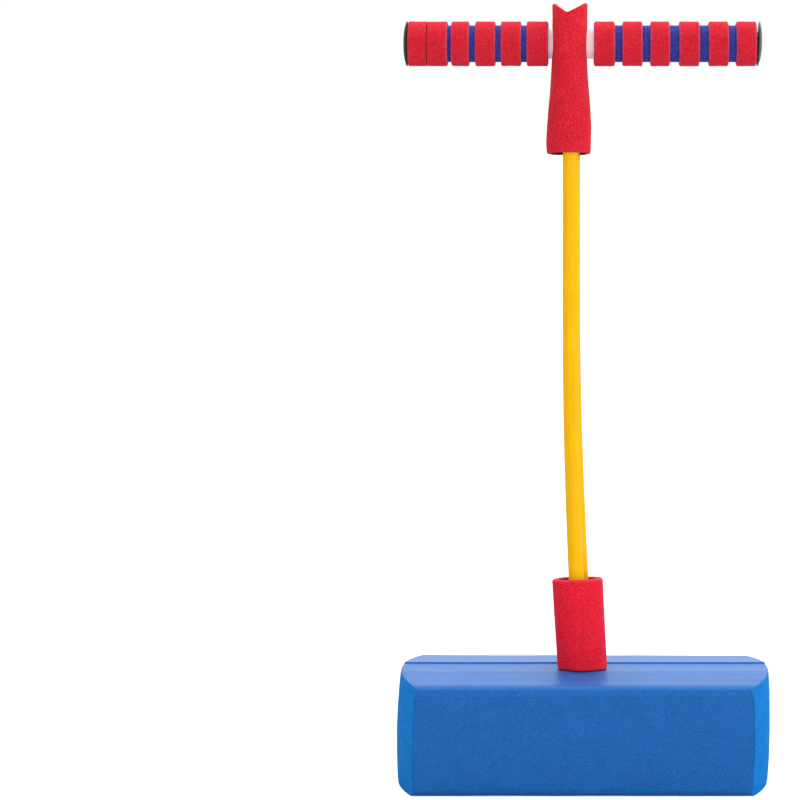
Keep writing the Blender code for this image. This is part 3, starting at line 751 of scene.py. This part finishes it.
# a soft tube: it leans, its rim slopes down to the rear, and its foot sags into the sunk strip
wave = 1 + 0.004 * value_noise(co * np.array((1, 1, 0.35)), 70.0, 31)
around = np.arctan2(co[:, 1], co[:, 0])
outer = np.clip((np.hypot(co[:, 0], co[:, 1]) - COLLAR_BORE) / (COLLAR_R - COLLAR_BORE), 0, 1)
square = 1 + 0.028 * outer * (0.5 - 0.5 * np.cos(4 * around))
cx, cy = co[:, 0] * wave * square * (1 + 0.022 * h), co[:, 1] * wave * square
sag = SUNK * 1.0 * np.clip(1 - h * 5, 0, 1) * np.clip((0.0150 - np.abs(cy)) / 0.0035, 0, 1)
slope = h ** 1.5
new = np.stack([x0 - 0.0040 * h + cx, cy,
                foot + co[:, 2] - sag + slope * (-0.0010 + cx * 0.030 - cy * 0.100)], 1)
set_coords(collar, new)
rim = np.clip((h - 0.970) / 0.03, 0, 1) * 0.45 + np.clip((0.02 - h) / 0.02, 0, 1) * 0.1
store(collar, "rim", rim * (0.75 + 0.25 * value_noise(new, 300.0, 5)))
# painted shade: the wall of the bore is marked to be darkened, standing in for the shade inside the collar
store(collar, "inner", np.clip((COLLAR_BORE + 0.0011 - np.hypot(co[:, 0], co[:, 1])) / 0.0009, 0, 1)
      * np.clip((height - 0.0006 - co[:, 2]) / 0.0012, 0, 1))
roughen(collar, [(0.00012, 95.0, 32), (0.00005, 380.0, 33)],
        lambda c: np.clip((c[:, 2] - foot) / 0.002, 0, 1))
keep(smooth(collar, 50), "collar", "red_foam", "base_collar")

# ---------------------------------------------------------------- cords
CORD_R = 0.00625
TUBE_R, GAP = 0.0120, 0.0003
BAR_Z = 0.5909


def cord_x(z, front):
    low, high, start, end = ((-0.0022, -0.0105, 0.085, 0.360) if front
                             else (0.0012, -0.0090, 0.095, 0.390))
    t = min(max((z - start) / (end - start), 0.0), 1.0)
    return low + (high - low) * math.sin(t * PI / 2)


def cord_y(z):
    low = 0.0035 * (1 - ease((z - 0.022) / 0.032))
    high = (TUBE_R + GAP + CORD_R - 0.0065) * ease((z - 0.506) / (BAR_Z - 0.012 - 0.506))
    return 0.0065 + low + high


ROUND = 36
TONGUE = 0.0022


def tube(name, centres, tangents, radii=None):
    """Closed round tube through the centres, with what its material needs stored on it."""
    verts, faces, around = [], [], []
    run = 0.0
    for k, (c, t) in enumerate(zip(centres, tangents)):
        c, t = Vector(c), Vector(t).normalized()
        radius = radii[k] if radii else CORD_R
        side = (Vector((1, 0, 0)) - t * t.x).normalized()
        other = t.cross(side)
        if k:
            run += (c - Vector(centres[k - 1])).length
        for i in range(ROUND):
            a = 2 * PI * i / ROUND
            p = c + side * (radius * math.cos(a)) + other * (radius * math.sin(a))
            verts.append(tuple(p))
            around.append((radius * math.cos(a), radius * math.sin(a), c.z if c.z < 0.51 else 0.51 + run))
    n = len(centres)
    for k in range(n - 1):
        for i in range(ROUND):
            j = (i + 1) % ROUND
            faces.append((k * ROUND + i, k * ROUND + j, (k + 1) * ROUND + j, (k + 1) * ROUND + i))
    for k, end in ((0, -1), (n - 1, 1)):
        c = Vector(centres[k])
        verts.append(tuple(c))
        around.append((0, 0, c.z))
        tip = len(verts) - 1
        for i in range(ROUND):
            j = (i + 1) % ROUND
            faces.append((k * ROUND + j, k * ROUND + i, tip) if end < 0 else (k * ROUND + i, k * ROUND + j, tip))
    obj = new_mesh(name, verts, faces, yellow)
    store(obj, "cord_co", around, "FLOAT_VECTOR")
    return smooth(outward(obj), 50)


def free_path(z0, z1, front, step=0.0018):
    side = -1 if front else 1
    n = max(3, int(round((z1 - z0) / step)) + 1)
    zs = np.linspace(z0, z1, n)
    return [(cord_x(z, front), side * cord_y(z), z) for z in zs], [(0, 0, 1)] * n


bounds = [0.180, 0.202, 0.232, 0.262, 0.292, 0.322, 0.352, 0.382, 0.412, 0.442, 0.470, 0.496]
for front in (True, False):
    word = "front" if front else "rear"
    tail_lo, tail_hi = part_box(word + "_cord_tail")
    c, t = free_path(tail_lo.z, bounds[0], front)
    root = tube(word + "_cord_root", c, t)
    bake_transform(root)
    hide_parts(word + "_cord_tail", word + "_cord_00")
    for k, (z0, z1) in enumerate(zip(bounds, bounds[1:])):
        c, t = free_path(z0, z1, front)
        radii = [CORD_R] * len(c)
        # Where two pieces meet, a slightly thinner tongue of each reaches into the other, so that the outer side of a
        # bend between them doesn't open.
        if 2 <= k <= 8:
            extra, upright = free_path(z0 - TONGUE, z0, front, 0.0008)
            c, t, radii = extra + c, upright + t, [CORD_R - 0.00008] * len(extra) + radii
        if 1 <= k <= 7:
            extra, upright = free_path(z1, z1 + TONGUE, front, 0.0008)
            c, t, radii = c + extra, t + upright, radii + [CORD_R - 0.00008] * len(extra)
        piece = tube(f"{word}_cord_piece_{k + 1:02d}", c, t, radii)
        # Each piece gets start and end heights: pieces 3 to 8 reach about a piece beyond each end; piece 2 reaches
        # half a piece beyond its top, piece 9 half a piece below its foot, and the rest keep their own ends.
        length, middle = z1 - z0, (z0 + z1) / 2
        start, end = z0, z1
        if 2 <= k <= 7:
            start, end = middle - 1.47 * length, middle + 1.47 * length
        elif k == 1:
            end = z0 + length / 0.67
        elif k == 8:
            start = z1 - length / 0.67
        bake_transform(piece)
        if k < 10:
            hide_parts(f"{word}_cord_{k + 1:02d}")

# over the bar, hidden in the sleeve
bow = TUBE_R + GAP + CORD_R
up = [(cord_x(z, True), -cord_y(z), z) for z in np.linspace(bounds[-1], BAR_Z - 0.001, 46)]
down = [(cord_x(z, False), cord_y(z), z) for z in np.linspace(bounds[-1], BAR_Z - 0.001, 46)]
line = list(up)
for i in range(1, 40):
    a = PI * i / 40
    line.append((up[-1][0] + (down[-1][0] - up[-1][0]) * i / 40, -bow * math.cos(a),
                 BAR_Z + bow * math.sin(a)))
line += down[::-1]
tangents = []
for i in range(len(line)):
    a, b = Vector(line[max(i - 1, 0)]), Vector(line[min(i + 1, len(line) - 1)])
    tangents.append(tuple(b - a))
tangents[0], tangents[-1] = (0, 0, 1), (0, 0, -1)
loop = tube("cord_over_bar", line, tangents)
keep(loop, "cord_top", "cord_rubber", "cord_loop")

# ---------------------------------------------------------------- handle sleeve
sl_lo, sl_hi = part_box("handle_sleeve")
Z0, Z1 = sl_lo.z, sl_hi.z
# height, middle of the sleeve across, half its width
WIDTHS = [(0.5020, -0.0120, 0.0176), (0.5080, -0.0120, 0.0180), (0.5217, -0.0117, 0.0180),
          (0.5330, -0.0115, 0.0173), (0.5450, -0.0113, 0.0163), (0.5617, -0.0113, 0.0150),
          (0.5780, -0.0113, 0.0142), (0.6000, -0.0110, 0.0141), (0.6236, -0.0109, 0.0142)]
NOTCH_X = -0.0130
N = 128
levels = np.linspace(0, 1, 64)
outer_ring, inner_ring = [], []
verts = []
for kind in ("outer", "inner"):
    rows = outer_ring if kind == "outer" else inner_ring
    for hh in levels:
        z = Z0 + (Z1 - Z0) * hh
        centre, half = table(z, WIDTHS)
        t_low = ease((z - 0.506) / (0.572 - 0.506))
        t_top = ease((z - 0.600) / (Z1 - 0.600))
        a = half
        b = 0.0178 + (0.0286 - 0.0178) * t_low + (0.0254 - 0.0286) * t_top
        wall = 0.0036 - 0.0003 * t_low
        power = 2.0 + 0.7 * t_low
        if kind == "inner":
            a, b = a - wall, b - wall
        row = []
        for i in range(N):
            t = 2 * PI * i / N
            c, s = math.cos(t), math.sin(t)
            x = centre + math.copysign(abs(c) ** (2 / power), c) * a
            y = math.copysign(abs(s) ** (2 / power), s) * b
            far = (NOTCH_X - (centre - a)) if x < NOTCH_X else (centre + a - NOTCH_X)
            dip = 0.0076 * max(0.0, 1 - abs(x - NOTCH_X) / max(far, 1e-4)) ** 0.92
            side_drop = 0.0009 * ease((centre - x) / 0.02)
            row.append(len(verts))
            # its lower rim is a little higher in front than behind
            lift = 0.0021 * (-y / 0.018) * max(0.0, 1 - hh / 0.25)
            verts.append((x, y, z + lift + 0.0004 * max(0.0, 1 - hh / 0.25)
                          - (dip + side_drop) * max(0.0, (hh - 0.78) / 0.22)))
        rows.append(row)
faces = []
for rows, flip in ((outer_ring, False), (inner_ring, True)):
    for low_row, high_row in zip(rows, rows[1:]):
        for i in range(N):
            j = (i + 1) % N
            q = (low_row[i], low_row[j], high_row[j], high_row[i])
            faces.append(q[::-1] if flip else q)
for end in (0, -1):
    for i in range(N):
        j = (i + 1) % N
        q = (outer_ring[end][i], outer_ring[end][j], inner_ring[end][j], inner_ring[end][i])
        faces.append(q[::-1] if end == 0 else q)
sleeve = outward(new_mesh("foam_sleeve", verts, faces, red_sleeve))
hole = turned("hole_tool", [(0, 0.05), (0.0127, 0.05), (0.0127, -0.05), (0, -0.05)], 72, red, axis="X",
              closed=False)
set_coords(hole, coords(hole) + np.array((-0.0105, 0, BAR_Z)))
mod = sleeve.modifiers.new("hole", "BOOLEAN")
mod.operation, mod.solver, mod.object = "DIFFERENCE", "EXACT", hole
mod = sleeve.modifiers.new("remesh", "REMESH")
mod.mode, mod.voxel_size, mod.adaptivity = "VOXEL", 0.00068, 0.0
mod = sleeve.modifiers.new("soften", "SMOOTH")
mod.factor, mod.iterations = 0.5, 5
apply_all(sleeve)
bpy.data.objects.remove(hole, do_unlink=True)
sleeve.data.materials.clear()
sleeve.data.materials.append(red_sleeve)
co = coords(sleeve)
below = Z0 + 0.0004 - 0.0021 * co[:, 1] / 0.018           # height of the lower rim here
store(sleeve, "rim", np.clip((below + 0.0014 - co[:, 2]) / 0.0016, 0, 1) * 0.35)
# painted shade: the inner wall of the sleeve's lowest 30 mm is marked to be darkened, standing in for the shade
# inside its opening
inside = np.zeros(len(co))
for k, (x, y, z) in enumerate(co):
    if z < Z0 + 0.030:
        centre, half = table(z, WIDTHS)
        t_low = ease((z - 0.506) / (0.572 - 0.506))
        out = ((abs(x - centre) / half) ** (2.0 + 0.7 * t_low)
               + (abs(y) / (0.0178 + 0.0108 * t_low)) ** (2.0 + 0.7 * t_low)) ** (1 / (2.0 + 0.7 * t_low))
        inside[k] = min(max((0.900 - out) / 0.06, 0.0), 1.0)
store(sleeve, "inner", inside)
roughen(sleeve, [(0.00018, 70.0, 41), (0.00008, 330.0, 42)])
sleeve.data.shade_smooth()
keep(sleeve, "cord_top", "red_foam", "handle_sleeve")

# ---------------------------------------------------------------- handle bar
tube_lo, tube_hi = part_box("core_tube")
outline = round_corners([(TUBE_R, tube_lo.x, 0.0005), (TUBE_R, tube_hi.x, 0.0005),
                         (0.0100, tube_hi.x, 0.0004), (0.0100, tube_lo.x, 0.0004)], 3)
core = turned("handle_core_tube", fill_in(outline, 0.02), 72, tube_mat, axis="X")
set_coords(core, coords(core) + np.array((0, 0, BAR_Z)))
keep(smooth(core, 40), "handle_core", "tube_plastic", "core_tube")

for word in ("left", "right"):
    a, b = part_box(word + "_liner")
    outline = round_corners([(0.01475, a.x, 0.0006), (0.01475, b.x, 0.0006),
                             (0.01235, b.x, 0.0004), (0.01235, a.x, 0.0004)], 3)
    liner = turned(word + "_grip_liner", fill_in(outline, 0.0035), 72, violet, axis="X")
    set_coords(liner, coords(liner) + np.array((0, 0, BAR_Z)))
    roughen(liner, [(0.00010, 140.0, 51)], lambda c: np.hypot(c[:, 1], c[:, 2] - BAR_Z) > 0.0135)
    keep(smooth(liner, 45), "grips", "grip_liner", word + "_liner")

# ring: how much each side face leans (degrees), how rounded its edges are, how its waist dips
SHAPES = {
    "left_ring_1": (0.6, 0.0, 0.0013, 0.0006, 0.00010), "left_ring_2": (0.0, 0.3, 0.0006, 0.0015, 0.00012),
    "left_ring_3": (-0.4, 0.8, 0.0016, 0.0016, 0.00015), "left_ring_4": (0.7, -0.3, 0.0014, 0.0017, 0.00008),
    "left_ring_5": (-0.6, 0.4, 0.0016, 0.0014, 0.00014), "left_ring_6": (0.3, -0.8, 0.0015, 0.0016, 0.00010),
    "right_ring_1": (1.8, 0.2, 0.0017, 0.0015, 0.00010), "right_ring_2": (-0.5, 0.6, 0.0016, 0.0014, 0.00015),
    "right_ring_3": (0.4, -0.6, 0.0014, 0.0016, 0.00010), "right_ring_4": (-0.3, 0.7, 0.0016, 0.0017, 0.00012),
    "right_ring_5": (0.8, 0.2, 0.0015, 0.0015, 0.00014), "right_ring_6": (-0.5, -0.4, 0.0015, 0.0013, 0.00010),
}
# the first two rings on the left are pushed against each other: how far each side face draws in
DRAWN_IN = {"left_ring_1": (1.0, 0.05), "left_ring_2": (0.05, 1.0)}
for seed, (name, (lean_a, lean_b, edge_a, edge_b, dip)) in enumerate(SHAPES.items()):
    a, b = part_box(name)
    R, r = 0.0181, 0.01505
    half = (b.x - a.x) / 2
    outline = round_corners([(R, -half, edge_a), (R, half, edge_b), (r, half, 0.0005), (r, -half, 0.0005)], 6)
    outline = fill_in(outline, 0.0015)
    ring = turned("foam_" + name, outline, 84, red_ring, axis="X")
    co = coords(ring)
    radius = np.hypot(co[:, 1], co[:, 2])
    angle = np.arctan2(co[:, 2], co[:, 1])
    u = co[:, 0] / half
    out = np.clip((radius - r) / (R - r), 0, 1)
    # edges not quite square to the bar, a slightly hollow waist, and the wall a little uneven
    in_a, in_b = DRAWN_IN.get(name, (1.0, 1.0))
    co[:, 0] += -0.0006 * out * np.clip(np.abs(u) - 0.3, 0, 1) * np.where(u < 0, -in_a, in_b)
    co[:, 0] -= np.where(u < 0, -1, 1) * np.clip(np.abs(u), 0, 1) * (
        np.where(u < 0, abs(lean_a), abs(lean_b)) * PI / 180 * R * 0.5
        * (1 + np.sin(angle + 0.9 * seed)) * 0.6)
    radial = -dip * (1 - u ** 2) * out + 0.00012 * out * value_noise(
        np.stack([np.cos(angle), np.sin(angle), u * 0.4], 1), 1.7, 60 + seed)
    co[:, 1] += np.cos(angle) * radial
    co[:, 2] += np.sin(angle) * radial
    co[:, 0] += (a.x + b.x) / 2
    co[:, 2] += BAR_Z
    set_coords(ring, co)
    side = np.clip((np.abs(u) - 0.86) / 0.12, 0, 1) * np.where(u < 0, in_a, in_b)
    store(ring, "rim", np.clip(side * (0.65 + 0.35 * value_noise(co, 420.0, 80 + seed)), 0, 1))
    roughen(ring, [(0.00008, 150.0, 100 + seed), (0.00005, 480.0, 120 + seed)])
    keep(smooth(ring, 50), "grips", "red_foam", name)

for word, material, sign, tilt in (("left", black, -1, 0.0), ("right", grey, 1, math.radians(2.6))):
    a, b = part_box(word + "_cap")
    R, RIM, DOME, PR, PL = 0.0180, 0.0008, 0.0025, 0.0092, 0.0085
    loop_ = [np.array((0.0, RIM + DOME))]
    for i in range(1, 15):
        t = PI / 2 * i / 15
        r_ = (R - 0.0016) * math.sin(t)
        loop_.append(np.array((r_, RIM + DOME * math.cos(t) ** 1.15)))
    loop_ += [np.array(p) for p in [(R - 0.0013, RIM + 0.0001), (R - 0.0009, RIM + 0.0003),
                                    (R - 0.0004, RIM + 0.0002), (R - 0.0001, RIM * 0.7), (R, RIM * 0.4),
                                    (R - 0.0002, 0.0), (PR + 0.0008, 0.0), (PR, -0.0006), (PR, -PL + 0.001),
                                    (PR - 0.0004, -PL + 0.0003), (PR - 0.001, -PL), (0.0, -PL)]]
    cap = turned(word + "_end_cap", loop_, 80, material, axis="X", closed=False)
    co = coords(cap)
    rot = Matrix.Rotation(tilt, 3, "Y") if sign > 0 else Matrix.Identity(3)
    place = np.array((-0.1416 if sign < 0 else 0.14035, 0, BAR_Z))
    co[:, 0] *= sign
    co = co @ np.array(rot).T + place
    set_coords(cap, co)
    outward(cap)
    keep(smooth(cap, 38), "grips", "cap_plastic", word + "_cap")

# ---------------------------------------------------------------- floor, light and camera
floor_mat, floor_shader, floor_node, floor_join = new_material("studio_floor")
where = floor_node("ShaderNodeTexCoord").outputs["Object"]
soft = floor_node("ShaderNodeTexNoise", {"Vector": where, "Scale": 0.8, "Detail": 2.0})
pale = ramp(floor_node, soft.outputs["Fac"], [(0.3, (0.56, 0.56, 0.565)), (0.7, (0.58, 0.58, 0.58))])
floor_join(pale, "Base Color")
# the floor is overexposed to white where the camera looks at it, as in a studio, but lights the object no more for it
glow = floor_node("ShaderNodeLightPath").outputs["Is Camera Ray"]
floor_join(floor_node("ShaderNodeMath", {0: glow, 1: 1.30}, operation="MULTIPLY").outputs[0],
           "Emission Strength")
floor_join(pale, "Emission Color")
floor_shader.inputs["Roughness"].default_value = 0.9
floor_shader.inputs["Specular IOR Level"].default_value = 0.1
SIZE, STEPS = 60.0, 8
verts = [(SIZE * (i / STEPS - 0.5), SIZE * (j / STEPS - 0.5), 0.0)
         for j in range(STEPS + 1) for i in range(STEPS + 1)]
faces = [(j * (STEPS + 1) + i, j * (STEPS + 1) + i + 1, (j + 1) * (STEPS + 1) + i + 1, (j + 1) * (STEPS + 1) + i)
         for j in range(STEPS) for i in range(STEPS)]
floor = new_mesh("studio_floor", verts, faces, floor_mat)

# a white room, brighter behind and to the right than on the camera's side; the camera sees it plain white
world = bpy.data.worlds.new("studio_world")
world.use_nodes = True
tree = world.node_tree
back = tree.nodes["Background"]
way = tree.nodes.new("ShaderNodeTexCoord")
split = tree.nodes.new("ShaderNodeSeparateXYZ")
tree.links.new(way.outputs["Generated"], split.inputs[0])
depth = tree.nodes.new("ShaderNodeMapRange")
depth.interpolation_type = "SMOOTHSTEP"
for key, value in (("From Min", -0.7), ("From Max", 0.7), ("To Min", 0.22), ("To Max", 1.68)):
    depth.inputs[key].default_value = value
tree.links.new(split.outputs["Y"], depth.inputs["Value"])
across = tree.nodes.new("ShaderNodeMapRange")
for key, value in (("From Min", -1.0), ("From Max", 1.0), ("To Min", 0.76), ("To Max", 1.18)):
    across.inputs[key].default_value = value
tree.links.new(split.outputs["X"], across.inputs["Value"])
level = tree.nodes.new("ShaderNodeMath")
level.operation = "MULTIPLY"
tree.links.new(depth.outputs[0], level.inputs[0])
tree.links.new(across.outputs[0], level.inputs[1])
seen = tree.nodes.new("ShaderNodeLightPath")
pick = tree.nodes.new("ShaderNodeMix")
tree.links.new(seen.outputs["Is Camera Ray"], pick.inputs[0])
tree.links.new(level.outputs[0], pick.inputs[2])
pick.inputs[3].default_value = 1.0
back.inputs["Color"].default_value = (1.0, 1.0, 1.0, 1.0)
tree.links.new(pick.outputs[0], back.inputs["Strength"])
scene.world = world


def lamp(name, place, target, size, power, colour=(1, 1, 1)):
    data = bpy.data.lights.new(name, "AREA")
    data.shape, data.size, data.energy, data.color = "SQUARE", size, power, colour
    obj = bpy.data.objects.new(name, data)
    obj.location = place
    obj.rotation_euler = (Vector(target) - Vector(place)).to_track_quat("-Z", "Y").to_euler()
    scene.collection.objects.link(obj)
    return obj


lamp("light_overhead", (0.0, 0.35, 2.6), (0.0, 0.05, 0.2), 2.2, 38.0)
lamp("light_right", (2.4, -0.5, 1.0), (0.0, 0.0, 0.2), 1.6, 12.0)
lamp("light_front_right", (1.4, -2.4, 1.0), (0.0, 0.0, 0.25), 1.6, 22.0)
lamp("light_front_left", (-1.0, -2.6, 1.0), (0.0, 0.0, 0.25), 1.6, 22.0)

camera_data = bpy.data.cameras.new("camera")
camera_data.sensor_width = 36.0
camera_data.lens = 126.7
camera_data.shift_x = -0.2294
camera_data.shift_y = -0.4190
camera = bpy.data.objects.new("camera", camera_data)
camera.location = (0.0, -2.266, 0.574)
camera.rotation_euler = (PI / 2, 0.0, 0.0)
scene.collection.objects.link(camera)
scene.camera = camera
scene.view_settings.view_transform = "Standard"

# The lens is shifted, as in the picture this view follows, only while the camera stands at that place.
# From anywhere else it looks straight ahead.
home = bpy.data.objects.new("camera_home", None)
home.location = camera.location
scene.collection.objects.link(home)
for path, value in (("shift_x", camera_data.shift_x), ("shift_y", camera_data.shift_y)):
    curve = camera_data.driver_add(path)
    curve.driver.type = "SUM"
    away = curve.driver.variables.new()
    away.name, away.type = "away", "LOC_DIFF"
    away.targets[0].id, away.targets[1].id = camera, home
    for mod in list(curve.modifiers):
        curve.modifiers.remove(mod)
    for distance, amount in ((0.0, value), (0.02, value), (0.04, 0.0), (10.0, 0.0)):
        key = curve.keyframe_points.insert(distance, amount)
        key.interpolation = "LINEAR"
    curve.extrapolation = "CONSTANT"

bpy.context.view_layer.update()
